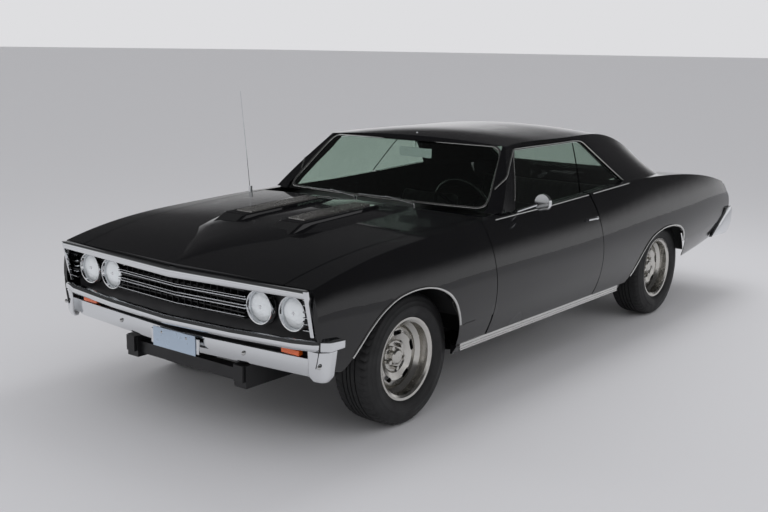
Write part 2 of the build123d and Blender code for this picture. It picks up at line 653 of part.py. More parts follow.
save("front_mouldings", header - fender - flip(fender), *cups, *[flip(c) for c in cups])
save("headlamps", *lamps, *[flip(c) for c in lamps])
BUMPER_F = [
    # x, y from the front axle of the blade's front face
    (0, -830), (600, -800), (860, -765), (936, -730), (952, -690), (952, -620),
]
front_line = [(x, AXLE_F + y) for x, y in BUMPER_F]
back_line = [(x * 0.975 if x else 0, AXLE_F + y + 30 + (0 if x < 900 else 10)) for x, y in BUMPER_F[:-2]] + [(922, AXLE_F - 660), (922, AXLE_F - 620)]
half_blade = plan_profile(front_line + back_line[::-1], 500, 567) 
blade = fuse(half_blade, flip(half_blade))
end_piece = plan_profile(
    [(840, AXLE_F - 745), (925, AXLE_F - 722), (940, AXLE_F - 680), (905, AXLE_F - 680), (840, AXLE_F - 715)], 395, 500
)
valance = box(-842, 842, AXLE_F - 716, AXLE_F - 690, 380, 462)
PLATE_PITCH = 177.8
PLATE_HOLE_R = 3.5
for x in (-PLATE_PITCH / 2, PLATE_PITCH / 2):
    valance = valance - rod_y(x, AXLE_F - 730, AXLE_F - 680, 430, PLATE_HOLE_R)
save("front_bumper", fuse(blade, end_piece, flip(end_piece), valance) - fender - flip(fender))
signal = box(640, 740, AXLE_F - 700, AXLE_F - 672, 478, 498)
save("signal_lamps", signal, flip(signal))

# Rear end: bumper and lamps.
BUMPER_R = [(0, 4174), (600, 4160), (860, 4125), (935, 4090), (950, 4040), (950, 3960)]
rear_line = [(x, AXLE_F + y) for x, y in BUMPER_R]
rear_in = [(0, AXLE_F + 4140), (585, AXLE_F + 4126), (845, AXLE_F + 4092), (905, AXLE_F + 4066), (918, AXLE_F + 4030), (918, AXLE_F + 3960)]
half_rear = plan_profile(rear_line + rear_in[::-1], 470, 570)
save("rear_bumper", fuse(half_rear, flip(half_rear), box(-500, 500, AXLE_F + 3985, AXLE_F + 4145, 496, 530)) - tail_panel - quarter - flip(quarter))
tail_lamp = box(560, 850, AXLE_F + 4030, AXLE_F + 4076, 625, 735) - tail_panel
save("tail_lamps", tail_lamp, flip(tail_lamp))

# Small outside pieces: driver's mirror, door handles, wipers and aerial.
mirror_head = Pos(968, AXLE_F + 1030, 1012) * Rot(90, 0, 0) * Cylinder(46, 26)
mirror_stalk = bar((846, AXLE_F + 968, 958), (940, AXLE_F + 1026, 1000), 7)
handle_x = skin_x(1700, 836)
handle = (bar((handle_x + 10, AXLE_F + 1640, 838), (handle_x + 10, AXLE_F + 1765, 836), 8) + rod_x(handle_x - 6, handle_x + 12, AXLE_F + 1650, 838, 7) + rod_x(handle_x - 6, handle_x + 14, AXLE_F + 1758, 836, 11)) - door_solid
save("door_trim_left", (mirror_head + mirror_stalk) - door_solid, handle)
save("door_trim_right", flip(handle))
wiper = fuse(
    Pos(330, AXLE_F + 702, 950) * Cylinder(10, 56),
    bar((330, AXLE_F + 702, 974), (90, AXLE_F + 754, 990), 4.5),
    bar((200, AXLE_F + 760, 984), (-110, AXLE_F + 754, 984), 4),
)
wipers = fuse(wiper, Pos(-420, 0, 0) * wiper) - cowl - windshield - floor
aerial = bar((-815, AXLE_F + 560, 930), (-830, AXLE_F + 500, 1560), 2.5) + Pos(-815, AXLE_F + 560, 960) * Cylinder(12, 50)
save("wipers_and_aerial", wipers, aerial - flip(fender))
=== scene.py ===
# %% [markdown]
# # A black two-door muscle car
#
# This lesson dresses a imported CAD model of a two-door hardtop: paint, chrome, glass,
# rubber and trim, a soft studio and a camera. The CAD solids never move. The pieces added
# here are placed by tables of points, measured from the front axle, or by rays that seat
# them on the CAD surfaces.

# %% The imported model
import json
import math

import bmesh
import bpy
from mathutils import Matrix, Vector
from mathutils.bvhtree import BVHTree


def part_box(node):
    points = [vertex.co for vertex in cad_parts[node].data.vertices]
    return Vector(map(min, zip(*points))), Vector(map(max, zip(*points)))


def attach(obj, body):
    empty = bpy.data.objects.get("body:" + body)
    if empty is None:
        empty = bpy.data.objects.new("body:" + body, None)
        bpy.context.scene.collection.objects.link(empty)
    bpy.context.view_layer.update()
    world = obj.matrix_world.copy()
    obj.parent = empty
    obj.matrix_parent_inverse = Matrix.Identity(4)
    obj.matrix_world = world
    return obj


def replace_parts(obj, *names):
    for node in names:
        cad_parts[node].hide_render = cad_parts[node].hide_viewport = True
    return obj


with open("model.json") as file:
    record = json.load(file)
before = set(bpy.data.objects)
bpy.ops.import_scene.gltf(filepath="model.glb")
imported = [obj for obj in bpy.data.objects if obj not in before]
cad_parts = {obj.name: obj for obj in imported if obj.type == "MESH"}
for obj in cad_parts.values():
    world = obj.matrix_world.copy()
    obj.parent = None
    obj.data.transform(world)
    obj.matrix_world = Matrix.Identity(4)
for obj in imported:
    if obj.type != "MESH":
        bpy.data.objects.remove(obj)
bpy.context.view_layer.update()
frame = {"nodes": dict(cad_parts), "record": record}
NODES = frame["nodes"]

# %% [markdown]
# ## Driving places
#
# A car is drawn from its axles. The wheel centres, the track and the tyre radius place
# nearly everything else, so they are read once from the tyres' own boxes.

# %% Axles and track
def middle(name):
    low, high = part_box(name)
    return Vector([(a + b) / 2 for a, b in zip(low, high)])


AXLE_F = middle("tyre_front_left").y
AXLE_R = middle("tyre_rear_left").y
TRACK_X = middle("tyre_front_left").x
TYRE_R = middle("tyre_front_left").z
MM = 0.001
WHEELBASE = (AXLE_R - AXLE_F) / MM
AXLE_ABOVE_DATUM = 335.0
DROP = AXLE_ABOVE_DATUM - TYRE_R / MM


def at(x, y, z):
    """A body point in mm: x from the centre line, y from the front axle, z from the datum plane."""
    return Vector((x * MM, AXLE_F + y * MM, (z - DROP) * MM))


print(f"wheelbase {AXLE_R - AXLE_F:.3f} m, half track {TRACK_X:.3f} m")

# %% [markdown]
# ## The camera
#
# A three-quarter front view from just above roof height. The place, the heading, the
# pitch and the small roll were worked out by resection from the wheel centres and from
# known points of the body. The field of view comes from the focal length.

# %% Camera
CAMERA_AT = at(3758.3, -3917.2, 1828.0)
CAMERA_HEADING = math.radians(38.176)
CAMERA_PITCH = math.radians(-11.340)
CAMERA_ROLL = math.radians(0.824)
CAMERA_LENS = 48.68

camera_data = bpy.data.cameras.new("camera")
camera_data.sensor_width = 36.0
camera_data.lens = CAMERA_LENS
camera = bpy.data.objects.new("camera", camera_data)
bpy.context.collection.objects.link(camera)
heading = Matrix.Rotation(CAMERA_HEADING, 4, "Z")
pitch = Matrix.Rotation(math.radians(90) + CAMERA_PITCH, 4, "X")
roll = Matrix.Rotation(CAMERA_ROLL, 4, "Z")
camera.matrix_world = Matrix.Translation(CAMERA_AT) @ heading @ pitch @ roll
bpy.context.scene.camera = camera
print(f"camera {CAMERA_AT.z:.2f} m up, {CAMERA_LENS} mm lens")

# %% [markdown]
# ## Colours and shader nodes
#
# Colours are written as sRGB hex, as on a paint chart, and turned to linear light by one
# function. A second small function adds a shader node with its settings and its links.

# %% Helpers for materials
def colour(code):
    parts = [int(code[i : i + 2], 16) / 255 for i in (1, 3, 5)]
    linear = [v / 12.92 if v <= 0.04045 else ((v + 0.055) / 1.055) ** 2.4 for v in parts]
    return (*linear, 1.0)


def add(tree, kind, inputs=(), **settings):
    made = tree.nodes.new(kind)
    for key, value in settings.items():
        setattr(made, key, value)
    for key, value in dict(inputs).items():
        if isinstance(value, bpy.types.NodeSocket):
            tree.links.new(value, made.inputs[key])
        else:
            made.inputs[key].default_value = value
    return made


def new_material(name, **constants):
    made = bpy.data.materials.new(name)
    made.use_nodes = True
    tree = made.node_tree
    shader = tree.nodes["Principled BSDF"]
    for key, value in constants.items():
        shader.inputs[key.replace("_", " ")].default_value = value
    print("material", name)
    return made, tree, shader


def grain(tree, shader, size_mm, height_mm, kind="ShaderNodeTexNoise", strength=1.0, **settings):
    """Bumps of a real size: size_mm is the distance between two grains."""
    place = add(tree, "ShaderNodeTexCoord")
    pattern = add(tree, kind, {"Vector": place.outputs["Object"], "Scale": 1000 / size_mm}, **settings)
    height = pattern.outputs["Distance" if kind == "ShaderNodeTexVoronoi" else 0]
    bump = add(
        tree, "ShaderNodeBump", {"Height": height, "Distance": height_mm * MM, "Strength": strength}
    )
    tree.links.new(bump.outputs["Normal"], shader.inputs["Normal"])
    return pattern


def vary(tree, shader, socket, low, high, size_mm):
    """A slow variation of one number over the surface, between low and high."""
    place = add(tree, "ShaderNodeTexCoord")
    cloud = add(tree, "ShaderNodeTexNoise", {"Vector": place.outputs["Object"], "Scale": 1000 / size_mm})
    spread = add(
        tree,
        "ShaderNodeMapRange",
        {"Value": cloud.outputs[0], "From Min": 0.3, "From Max": 0.7, "To Min": low, "To Max": high},
    )
    tree.links.new(spread.outputs[0], shader.inputs[socket])


# %% [markdown]
# ## Black enamel
#
# The body is sprayed with black acrylic enamel and polished. Colour comes from a dark
# base, and the shine from a clear coat on top. Sprayed paint is never quite flat: its
# orange peel, about 6 mm from crest to crest, wavers each reflection a little.

# %% Paint
paint, tree, shader = new_material(
    "black_enamel",
    Base_Color=colour("#09090B"),
    Roughness=0.3,
    Specular_IOR_Level=0.05,
    Coat_Weight=1.0,
    Coat_Roughness=0.02,
    Coat_IOR=1.5,
)
grain(tree, shader, 6.0, 0.002)
vary(tree, shader, "Roughness", 0.26, 0.36, 300)

# %% [markdown]
# ## Chrome, stainless steel and aluminium
#
# Bumpers are chrome plate: a mirror with a cool tint. Mouldings are polished stainless
# steel, a little darker and softer. The wheels are polished and painted aluminium.

# %% Bright metals
chrome, tree, shader = new_material(
    "chrome_plate", Base_Color=colour("#E6E8EA"), Metallic=1.0, Roughness=0.05
)
vary(tree, shader, "Roughness", 0.03, 0.09, 120)

stainless, tree, shader = new_material(
    "polished_stainless", Base_Color=colour("#D2D2D0"), Metallic=1.0, Roughness=0.14
)
vary(tree, shader, "Roughness", 0.1, 0.2, 60)

aluminium, tree, shader = new_material(
    "turned_aluminium", Base_Color=colour("#CFCDC8"), Metallic=1.0, Roughness=0.2
)
vary(tree, shader, "Roughness", 0.14, 0.28, 40)

# %% [markdown]
# ## Black parts
#
# Chassis and grille are satin black enamel, the underside is matt undercoat, and the
# cabin is black vinyl and black moulded plastic. Each has its own grain.

# %% Satin, matt and moulded blacks
satin_black, tree, shader = new_material("satin_black_enamel", Base_Color=colour("#121214"), Roughness=0.38)
grain(tree, shader, 3.0, 0.02)
vary(tree, shader, "Roughness", 0.32, 0.46, 90)

undercoat, tree, shader = new_material("matt_undercoat", Base_Color=colour("#1A1A1B"), Roughness=0.75)
grain(tree, shader, 5.0, 0.25)

vinyl, tree, shader = new_material("grained_vinyl", Base_Color=colour("#17171A"), Roughness=0.48)
grain(tree, shader, 2.2, 0.12, kind="ShaderNodeTexVoronoi")

moulded_black, tree, shader = new_material(
    "moulded_black_plastic", Base_Color=colour("#141416"), Roughness=0.42
)
grain(tree, shader, 1.6, 0.05)

rim_black, tree, shader = new_material(
    "gloss_black_plastic", Base_Color=colour("#0C0C0E"), Roughness=0.18, Coat_Weight=0.5
)
vary(tree, shader, "Roughness", 0.14, 0.24, 50)

# %% [markdown]
# ## Rubber
#
# Tyre rubber is a dark grey that scatters light, never a true black. A fine grain keeps
# its highlight broad, and worn and dusty places make it uneven.

# %% Rubber
rubber, tree, shader = new_material("tyre_rubber", Base_Color=colour("#1B1B1C"), Roughness=0.62)
grain(tree, shader, 2.5, 0.06)
vary(tree, shader, "Roughness", 0.55, 0.72, 70)

# %% [markdown]
# ## Glass, lamps and lenses
#
# The windows are clear with a green tint. A lamp is a fluted lens over a bright bowl: a
# little metal in the shader stands in for the bowl. The coloured lenses are coated solids,
# because light that had to pass through them would need a bowl behind.

# %% Glass, lamps and lenses
tinted_glass, tree, shader = new_material(
    "tinted_glass", Base_Color=colour("#DDEBE2"), Roughness=0.0, IOR=1.45, Transmission_Weight=1.0
)
vary(tree, shader, "Roughness", 0.0, 0.008, 200)

lamp_glass, tree, shader = new_material(
    "fluted_lamp_glass", Base_Color=colour("#EEF2F4"), Roughness=0.12, IOR=1.5, Metallic=0.35
)
grain(tree, shader, 9.0, 1.2, kind="ShaderNodeTexVoronoi")

amber, tree, shader = new_material(
    "amber_acrylic", Base_Color=colour("#E0601A"), Roughness=0.12, Coat_Weight=1.0
)
grain(tree, shader, 5.0, 0.6, kind="ShaderNodeTexVoronoi")

red_lens, tree, shader = new_material(
    "red_acrylic", Base_Color=colour("#8C0A10"), Roughness=0.1, Coat_Weight=1.0
)
grain(tree, shader, 6.0, 0.5, kind="ShaderNodeTexVoronoi")

# %% [markdown]
# ## Engine and exhaust
#
# The engine is enamelled cast iron with a coarse grain. The exhaust and the tank are
# aluminised steel, dull in patches. Both are mostly hidden, so two plain finishes do.

# %% Cast iron and exhaust steel
cast_iron, tree, shader = new_material(
    "cast_iron_enamel", Base_Color=colour("#6E6A64"), Roughness=0.55, Metallic=0.3
)
grain(tree, shader, 4.0, 0.3)

exhaust_steel, tree, shader = new_material(
    "aluminised_steel", Base_Color=colour("#8E8C88"), Roughness=0.42, Metallic=1.0
)
vary(tree, shader, "Roughness", 0.34, 0.58, 80)

# %% [markdown]
# ## Which piece has which finish
#
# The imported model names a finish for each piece. One table turns those names into the
# materials above, and a loop hands them out to the CAD pieces.

# %% Finishes on the CAD pieces
FINISHES = {
    "paint": paint,
    "glass": tinted_glass,
    "chrome": chrome,
    "alloy": aluminium,
    "tyre": rubber,
    "black_metal": satin_black,
    "chassis": satin_black,
    "underbody": undercoat,
    "engine": cast_iron,
    "steel": exhaust_steel,
    "lamp_glass": lamp_glass,
    "amber": amber,
    "red_lens": red_lens,
    "trim_black": moulded_black,
    "wheel_rim": rim_black,
    "vinyl": vinyl,
}
SLOT_OF = {part["node"]: part["material_slot"] for part in frame["record"]["subparts"]}
for name, node in NODES.items():
    finish = FINISHES[SLOT_OF[name]]
    if node.material_slots:
        for slot in node.material_slots:
            slot.material = finish
    else:
        node.data.materials.append(finish)
print(len(NODES), "CAD pieces dressed")

# %% [markdown]
# ## Tools for the trim
#
# A moulding is one section swept along a path. `sweep` builds it from the path's points
# and the direction that faces out at each of them. `Skin` finds where a straight line
# meets the CAD surfaces, so that each moulding lies on the panel that carries it.

# %% Building pieces
def smooth(mesh, degrees=35):
    mesh.polygons.foreach_set("use_smooth", [True] * len(mesh.polygons))
    mesh.set_sharp_from_angle(angle=math.radians(degrees))


def piece(name, verts, faces, material, body):
    mesh = bpy.data.meshes.new(name)
    mesh.from_pydata([tuple(v) for v in verts], [], faces)
    shape = bmesh.new()
    shape.from_mesh(mesh)
    bmesh.ops.recalc_face_normals(shape, faces=shape.faces)
    shape.to_mesh(mesh)
    shape.free()
    smooth(mesh)
    mesh.materials.append(material)
    made = bpy.data.objects.new(name, mesh)
    bpy.context.collection.objects.link(made)
    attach(made, body)
    print(name, len(faces), "faces, rides on", body)
    return made


def sweep(name, path, outs, section, material, body, closed=False):
    """section: (side, out) in mm, as a closed outline, seen along the path."""
    verts, faces, count = [], [], len(section)
    for i, point in enumerate(path):
        before = path[i - 1] if closed or i else point
        after = path[(i + 1) % len(path)] if closed or i + 1 < len(path) else point
        ahead = (after - before).normalized()
        side = outs[i].cross(ahead).normalized()
        out = ahead.cross(side)
        verts += [point + side * (a * MM) + out * (b * MM) for a, b in section]
    for i in range(len(path) - (0 if closed else 1)):
        j = (i + 1) % len(path)
        for k in range(count):
            m = (k + 1) % count
            faces.append((i * count + k, i * count + m, j * count + m, j * count + k))
    if not closed:
        faces.append(tuple(range(count))[::-1])
        faces.append(tuple(range((len(path) - 1) * count, len(path) * count)))
    return piece(name, verts, faces, material, body)


def half_round(width, height, steps=6):
    """A section for sweep: flat below and domed above."""
    turns = [math.pi * k / steps for k in range(steps + 1)]
    dome = [(-width / 2 * math.cos(turn), height * math.sin(turn)) for turn in turns]
    return [(-width / 2, -1.0)] + dome + [(width / 2, -1.0)]


def turned(name, centre, axis, profile, material, body, steps=32):
    """A turned piece: profile is (distance along the axis, radius) in mm, open or ending on the axis."""
    axis = Vector(axis).normalized()
    second = axis.orthogonal().normalized()
    third = axis.cross(second)
    verts, faces, count = [], [], len(profile)
    for j in range(steps):
        angle = 2 * math.pi * j / steps
        ray = second * math.cos(angle) + third * math.sin(angle)
        verts += [centre + axis * (a * MM) + ray * (r * MM) for a, r in profile]
    for j in range(steps):
        n = (j + 1) % steps
        for k in range(count - 1):
            faces.append((j * count + k, j * count + k + 1, n * count + k + 1, n * count + k))
    return piece(name, verts, faces, material, body)


def block(name, low, high, material, body, bevel=3.0):
    """A box with rounded edges between two corners."""
    corners = [(x, y, z) for x in (low[0], high[0]) for y in (low[1], high[1]) for z in (low[2], high[2])]
    faces = [(0, 1, 3, 2), (4, 6, 7, 5), (0, 4, 5, 1), (2, 3, 7, 6), (0, 2, 6, 4), (1, 5, 7, 3)]
    made = piece(name, corners, faces, material, body)
    if bevel:
        rounding = made.modifiers.new("rounding", "BEVEL")
        rounding.width = bevel * MM
        rounding.segments = 3
        rounding.limit_method = "ANGLE"
    return made


class Skin:
    """The surface of some CAD pieces, for placing things on it."""

    def __init__(self, *names):
        verts, faces = [], []
        for name in names:
            start = len(verts)
            mesh = bpy.data.objects[name].data
            verts += [v.co.copy() for v in mesh.vertices]
            faces += [[start + i for i in p.vertices] for p in mesh.polygons]
        self.tree = BVHTree.FromPolygons(verts, faces)

    def hit(self, start, towards):
        place, normal, _, _ = self.tree.ray_cast(start, Vector(towards))
        if normal is not None and normal.dot(Vector(towards)) > 0:
            normal = -normal
        return place, normal

    def side(self, side, y, z):
        """Where the left (side 1) or right (side -1) flank lies at y, z."""
        return self.hit(at(side * 1300, y, z), (-side, 0, 0))

    def top(self, x, y):
        return self.hit(at(x, y, 1700), (0, 0, -1))


def rounded(points, radius, steps=5):
    """The polyline with each inner corner replaced by an arc-like curve."""
    made = [points[0]]
    for before, corner, after in zip(points, points[1:], points[2:]):
        back = (before - corner).normalized() * min(radius, (before - corner).length / 2)
        ahead = (after - corner).normalized() * min(radius, (after - corner).length / 2)
        for k in range(steps + 1):
            t = k / steps
            made.append(corner + back * (1 - t) ** 2 + ahead * t**2)
    return made + [points[-1]]


def resample(points, step):
    """Points along the polyline at about that spacing, in the polyline's own units."""
    made = [points[0]]
    for a, b in zip(points, points[1:]):
        count = max(1, round((b - a).length / step))
        made += [a + (b - a) * (k / count) for k in range(1, count + 1)]
    return made


def flank_strip(name, skin, side, outline, section, body="body", step=40.0, radius=0.0):
    """A stainless moulding on the car's flank along (y, z) points in mm."""
    points = [Vector((y, z)) for y, z in outline]
    if radius:
        points = rounded(points, radius)
    path, outs = [], []
    for p in resample(points, step):
        place, normal = skin.side(side, p.x, p.y)
        if place is None:
            continue
        path.append(place)
        outs.append(normal)
    return sweep(name, path, outs, section, stainless, body)


SIDES = [("left", 1), ("right", -1)]


def handed(points, side):
    """The points for that side of the car, from points written for its left side."""
    return [(side * x, y, z) for x, y, z in points]


# %% [markdown]
# ## Lower flanks
#
# Below their widest line the fenders and the quarters curve in to the lower edge. The CAD
# skins stop short of that edge, so painted sheets go on from them. The sections come from
# one table: half-widths and heights at the lower edge, the widest line and the shoulder.
# An arc through the three gives the flank at any height. A lofted patch from hand-placed
# points would do too, but it would not follow the CAD surface.

# %% Flank surface
FLANK = [
    # y, x low, z low, x widest, z widest, x shoulder, z shoulder
    (-790, 872, 455, 902, 640, 862, 800),
    (-600, 882, 400, 922, 635, 872, 846),
    (-260, 880, 300, 946, 640, 866, 902),
    (150, 872, 290, 958, 645, 858, 930),
    (650, 864, 290, 963, 650, 850, 950),
    (1300, 864, 290, 965, 655, 846, 958),
    (1900, 864, 290, 965, 665, 842, 978),
    (2450, 866, 292, 962, 680, 846, 998),
    (2950, 868, 315, 956, 690, 852, 988),
    (3450, 862, 375, 942, 695, 862, 950),
    (3850, 850, 430, 920, 690, 868, 884),
    (4120, 838, 470, 896, 685, 862, 812),
]


def flank_row(y):
    """The section at y, on a smooth curve through the table's rows."""
    k = max(i for i in range(len(FLANK) - 1) if FLANK[i][0] <= y)
    a, b = FLANK[k], FLANK[k + 1]
    before = FLANK[k - 1] if k else a
    after = FLANK[k + 2] if k + 2 < len(FLANK) else b
    span, t = b[0] - a[0], (y - a[0]) / (b[0] - a[0])
    row = []
    for i in range(1, 7):
        rise_a = (b[i] - before[i]) / (b[0] - before[0]) * span
        rise_b = (after[i] - a[i]) / (after[0] - a[0]) * span
        row.append(
            a[i] * (2 * t**3 - 3 * t**2 + 1)
            + rise_a * (t**3 - 2 * t**2 + t)
            + b[i] * (3 * t**2 - 2 * t**3)
            + rise_b * (t**3 - t**2)
        )
    return row


def flank_x(y, z):
    """The half-width of the body at y, z: an arc through the section's three points."""
    xb, zb, xm, zm, xs, zs = flank_row(y)
    d = 2 * (xb * (zm - zs) + xm * (zs - zb) + xs * (zb - zm))
    sb, sm, ss = xb**2 + zb**2, xm**2 + zm**2, xs**2 + zs**2
    cx = (sb * (zm - zs) + sm * (zs - zb) + ss * (zb - zm)) / d
    cz = (sb * (xs - xm) + sm * (xb - xs) + ss * (xm - xb)) / d
    return cx + math.sqrt(max(0.0, (xb - cx) ** 2 + (zb - cz) ** 2 - (z - cz) ** 2))


def along(line, y):
    """The height of a line of (y, z) points at y."""
    for (y0, z0), (y1, z1) in zip(line, line[1:]):
        if y0 <= y <= y1:
            return z0 + (z1 - z0) * (y - y0) / (y1 - y0)
    return line[0][1] if y < line[0][0] else line[-1][1]


PANEL_ROWS = 12
PANEL_PITCH = 16.0
PROBE_STEP = 4.0
PROBE_TOP = 700.0
PANEL_TOP = 690.0
OVERLAP = 10.0
SKIN_MATCH = 14.0
UNDER_SKIN = 0.6
SHEET = 3.0


def flank_panel(name, side, skin, low_line):
    """Fills the flank from low_line up to just past the lower edge of the CAD skin."""
    verts, faces, rows = [], [], PANEL_ROWS
    start, end = low_line[0][0], low_line[-1][0]
    count = max(4, round((end - start) / PANEL_PITCH))
    tops = []
    for i in range(count + 1):
        y = start + (end - start) * i / count
        low = along(low_line, y)
        z = PROBE_TOP
        while z > low:
            place, _ = skin.side(side, y, z)
            if place is None or abs(abs(place.x) / MM - flank_x(y, z)) > SKIN_MATCH:
                break
            z -= PROBE_STEP
        tops.append(max(low + 2, min(z + OVERLAP, PANEL_TOP)))
    for i in range(count + 1):
        y = start + (end - start) * i / count
        low = along(low_line, y)
        top = max(tops[max(0, i - 1) : i + 2])
        for j in range(rows + 1):
            z = low + (top - low) * j / rows
            verts.append(at(side * (flank_x(y, z) - UNDER_SKIN), y, z))
    for i in range(count):
        for j in range(rows):
            a = i * (rows + 1) + j
            faces.append((a, a + 1, a + rows + 2, a + rows + 1))
    made = piece(name, verts, faces, paint, "body")
    shell = made.modifiers.new("thickness", "SOLIDIFY")
    shell.thickness = SHEET * MM
    shell.offset = -1
    if made.data.polygons[0].normal.x * side < 0:
        made.data.flip_normals()


FENDER_FRONT_LOW = [(-728, 470), (-712, 448), (-560, 418), (-552, 424), (-438, 568)]
FENDER_REAR_LOW = [(256, 530), (270, 500), (300, 420), (318, 345), (594, 345)]
QUARTER_REAR_LOW = [
    (3098, 545), (3150, 500), (3180, 430), (3200, 384), (3255, 384), (3532, 407), (3833, 438), (3884, 442),
]
for side_name, side in SIDES:
    fender_skin = Skin(f"fender_{side_name}")
    quarter_skin = Skin(f"quarter_{side_name}")
    flank_panel(f"fender_lower_front_{side_name}", side, fender_skin, FENDER_FRONT_LOW)
    flank_panel(f"fender_lower_rear_{side_name}", side, fender_skin, FENDER_REAR_LOW)
    flank_panel(f"quarter_lower_{side_name}", side, quarter_skin, QUARTER_REAR_LOW)

# %% Front corner of the rear wheel arch
# The CAD opening reaches too far forward. Side view, from the rear axle.
ARCH_OUTER = [(-504, 566), (-578, 522), (-650, 470), (-738, 408), (-750, 345)]
ARCH_INNER = [(-504, 552), (-565, 478), (-600, 412), (-625, 376), (-650, 345)]
ARCH_STEPS = 6
for side_name, side in SIDES:
    verts = []
    for (ya, za), (yb, zb) in zip(ARCH_OUTER, ARCH_INNER):
        for k in range(ARCH_STEPS + 1):
            y = ya + (yb - ya) * k / ARCH_STEPS + WHEELBASE
            z = za + (zb - za) * k / ARCH_STEPS
            verts.append(at(side * (flank_x(y, z) - UNDER_SKIN), y, z))
    row = ARCH_STEPS + 1
    corners = [r * row + k for r in range(len(ARCH_OUTER) - 1) for k in range(ARCH_STEPS)]
    faces = [(a, a + 1, a + row + 1, a + row) for a in corners]
    fill = piece(f"quarter_arch_{side_name}", verts, faces, paint, "body")
    if fill.data.polygons[0].normal.x * side < 0:
        fill.data.flip_normals()

# %% [markdown]
# ## Wheel-arch lips and rocker moulding
#
# Stainless lips follow both wheel openings, and a ribbed moulding runs between them along
# the sill. The outlines are in side view, from each axle. A curve with a bevel could make
# the lips, but a swept section that rays seat on the panel stays flush all the way round.

# %% Arch lips
ARCH_FRONT = [
    (-556, 425), (-442, 574), (-344, 651), (-221, 702), (-93, 717), (4, 713), (91, 694), (163, 659), (219, 610),
    (268, 522), (306, 422), (326, 345),
]
ARCH_REAR = [
    (-646, 345), (-606, 404), (-565, 480), (-504, 556), (-423, 614), (-334, 642), (-199, 664), (-56, 662), (66, 639),
    (141, 599), (176, 533), (168, 450), (152, 404),
]
LIP = half_round(14, 7)
for side_name, side in SIDES:
    fender_skin = Skin(f"fender_{side_name}")
    quarter_skin = Skin(f"quarter_{side_name}", f"quarter_arch_{side_name}")
    flank_strip(f"arch_lip_front_{side_name}", fender_skin, side, ARCH_FRONT, LIP, step=30, radius=60)
    rear = [(y + WHEELBASE, z) for y, z in ARCH_REAR]
    flank_strip(f"arch_lip_rear_{side_name}", quarter_skin, side, rear, LIP, step=30, radius=60)

# %% Rocker mouldings
ROCKER = [
    (-24, -1), (-24, 5), (-20, 8), (-14, 8), (-12, 5), (-8, 5), (-6, 8), (0, 8), (2, 5), (6, 5), (8, 8), (16, 8),
    (22, 4), (22, -1),
]
ROCKER_FROM, ROCKER_TO, ROCKER_Z, ROCKER_STEPS = 362, 2262, 330, 40
sill_skin = Skin("cowl_and_sills")
for side_name, side in SIDES:
    path, outs = [], []
    for k in range(ROCKER_STEPS + 1):
        y = ROCKER_FROM + (ROCKER_TO - ROCKER_FROM) * k / ROCKER_STEPS
        place, _ = sill_skin.side(side, y, ROCKER_Z)
        if place is not None:
            path.append(place)
            outs.append(Vector((side, 0, 0)))
    sweep(f"rocker_moulding_{side_name}", path, outs, ROCKER, stainless, "body")

# %% [markdown]
# ## Round the windows
#
# The windshield and the back window have bright reveal mouldings with round corners. The
# side windows have a drip rail above, a belt moulding below, and a thin frame for the vent
# window. The lines are written in side or front view and rays seat them on glass or roof.

# %% Reveal mouldings
def reveal(name, glass, start_y, half_points, radius, corner_steps, spacing, section):
    """A moulding on the glass round its edge: the left half of its outline, in front view, is mirrored."""
    half = resample(rounded([Vector(p) for p in half_points], radius, corner_steps), spacing)
    outline = half + [Vector((-p.x, p.y)) for p in half[-2:0:-1]]
    skin, path, outs = Skin(glass), [], []
    for p in outline:
        place, normal = skin.hit(at(p.x, start_y, p.y), (0, 1 if start_y < 0 else -1, 0))
        if place is not None:
            path.append(place)
            outs.append(normal)
    sweep(name, path, outs, section, stainless, "body", closed=True)
    print(name, len(path), "of", len(outline), "points seated")


WINDSHIELD_HALF = [(0, 972), (737, 974), (628, 1284), (0, 1291)]
BACK_WINDOW_HALF = [(0, 1003), (498, 1003), (498, 1262), (0, 1262)]
reveal("windshield_reveal", "windshield", -400, WINDSHIELD_HALF, 70, 8, 30, half_round(17, 7))
reveal("back_window_reveal", "rear_glass", 4200, BACK_WINDOW_HALF, 50, 6, 40, half_round(18, 8))

# %% Window frames and belt mouldings
RAIL_LINE = [(1218, 1269), (1905, 1276), (2017, 1268), (2352, 1002)]
PILLAR_LINE = [(790, 962), (985, 1128), (1205, 1266)]
VENT_LINE = [(992, 1012), (1204, 1266)]
DOOR_BELT = [(720, 942), (1300, 951), (1792, 966)]
QUARTER_BELT = [(1808, 967), (2344, 988)]
THIN = half_round(7, 4)
BELT = half_round(11, 5)
roof_skin = Skin("roof")
for side_name, side in SIDES:
    door, quarter = f"door_{side_name}", f"quarter_{side_name}"
    flank_strip(f"window_rail_{side_name}", roof_skin, side, RAIL_LINE, THIN, radius=40)
    flank_strip(f"pillar_moulding_{side_name}", roof_skin, side, PILLAR_LINE, BELT, step=30)
    flank_strip(f"vent_frame_{side_name}", roof_skin, side, VENT_LINE, THIN, step=30)
    flank_strip(f"door_belt_{side_name}", Skin(door), side, DOOR_BELT, BELT, body=door)
    flank_strip(f"quarter_belt_{side_name}", Skin(quarter), side, QUARTER_BELT, BELT)

# %% [markdown]
# ## The front end
#
# The header, the grille bars and the bumper all run in a shallow V across the nose. Each
# is a loft through a few rows of points for one half, mirrored for the other. The rows hold
# the same number of points, so neighbouring rows join up without any searching.

